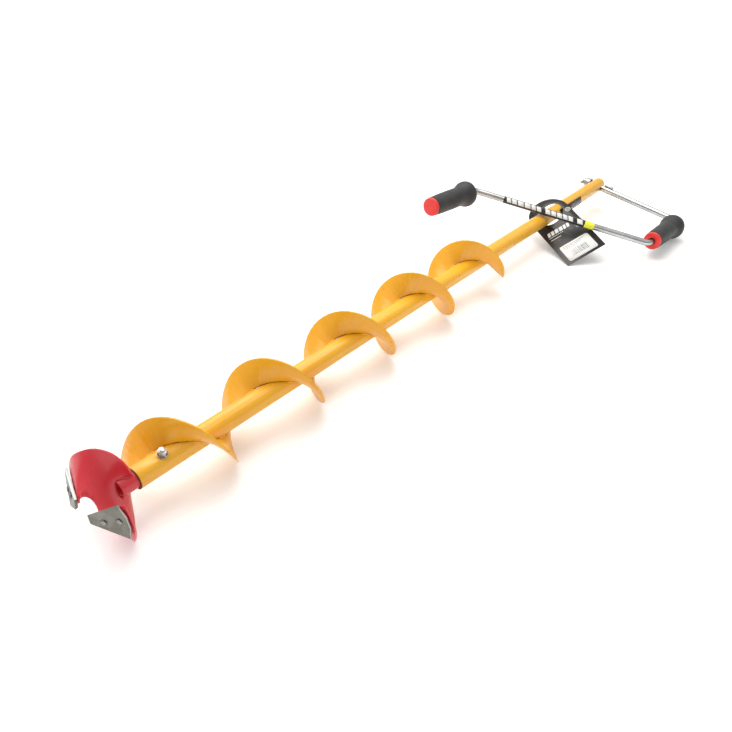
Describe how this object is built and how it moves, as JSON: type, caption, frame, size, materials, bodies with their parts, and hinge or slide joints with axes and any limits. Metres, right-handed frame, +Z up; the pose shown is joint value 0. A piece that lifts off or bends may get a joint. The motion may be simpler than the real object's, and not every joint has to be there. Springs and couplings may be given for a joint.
{
  "type": "hand ice auger",
  "caption": "Hand ice auger lying folded: tube with a spiral flight, twisted cutting head with bolted blades, bent crank rod with turning grips, wing nut and hang tag.",
  "frame": {"origin": "under the middle of the object, on the floor it lies on", "axes": "+X along the tube from the cutting head to the crank, +Z up, +Y to the side the far arm's end points to"},
  "size_m": [1.2552, 0.3546, 0.1245],
  "materials": {
    "yellow_paint": "gloss yellow-orange powder coat",
    "red_paint": "gloss red powder coat",
    "blade_steel": "hardened steel, satin, ground edge",
    "zinc": "bright zinc plating",
    "black_rubber": "matte moulded rubber",
    "red_plastic": "semi-gloss moulded plastic",
    "black_film": "printed gloss film",
    "yellow_film": "gloss film",
    "card_black": "laminated printed card",
    "card_white": "printed paper sticker"
  },
  "bodies": {
    "auger": {"tube": "yellow_paint", "flight": "yellow_paint", "shank": "red_paint", "cutter_plate": "red_paint", "blade_near": "blade_steel", "blade_screw_1": "zinc", "blade_nut_1": "zinc", "blade_screw_2": "zinc", "blade_nut_2": "zinc", "blade_far": "blade_steel", "blade_screw_3": "zinc", "blade_nut_3": "zinc", "blade_screw_4": "zinc", "blade_nut_4": "zinc", "head_bolt": "zinc", "head_washer": "zinc", "head_nut": "zinc", "tube_plug": "yellow_paint", "tube_label": "black_film"},
    "crank": {"crank_rod": "zinc", "crank_washer": "zinc", "crank_key": "zinc", "grip_retainer": "zinc", "arm_label": "black_film", "arm_label_end": "yellow_film"},
    "wing_nut": {"wing_nut": "zinc"},
    "lower_grip": {"lower_grip": "black_rubber", "lower_grip_ring": "red_plastic", "lower_grip_bush": "black_rubber"},
    "upper_grip": {"upper_grip": "black_rubber", "upper_grip_cap": "red_plastic"},
    "tag": {"hang_tag": "card_black", "tag_sticker": "card_white"}
  },
  "joints": [
    {"name": "crank_fold", "type": "hinge", "parent": "auger", "child": "crank", "pos_m": [0.60912, 0.03277, 0.04995], "axis": [0, 0.988, 0.1547], "range_deg": [0, 175]},
    {"name": "wing_nut_turn", "type": "hinge", "parent": "crank", "child": "wing_nut", "pos_m": [0.60912, 0.03277, 0.04995], "axis": [0, 0.988, 0.1547], "continuous": true},
    {"name": "lower_grip_spin", "type": "hinge", "parent": "crank", "child": "lower_grip", "pos_m": [0.55931, -0.15363, 0.02512], "axis": [-0.9963, -0.0134, 0.0853], "continuous": true},
    {"name": "upper_grip_spin", "type": "hinge", "parent": "crank", "child": "upper_grip", "pos_m": [0.23048, 0.15297, 0.10196], "axis": [-0.9963, -0.0134, 0.0853], "continuous": true},
    {"name": "tag_slide", "type": "slide", "parent": "auger", "child": "tag", "axis": [1, 0, 0], "range_m": [0, 0.12]}
  ]
}
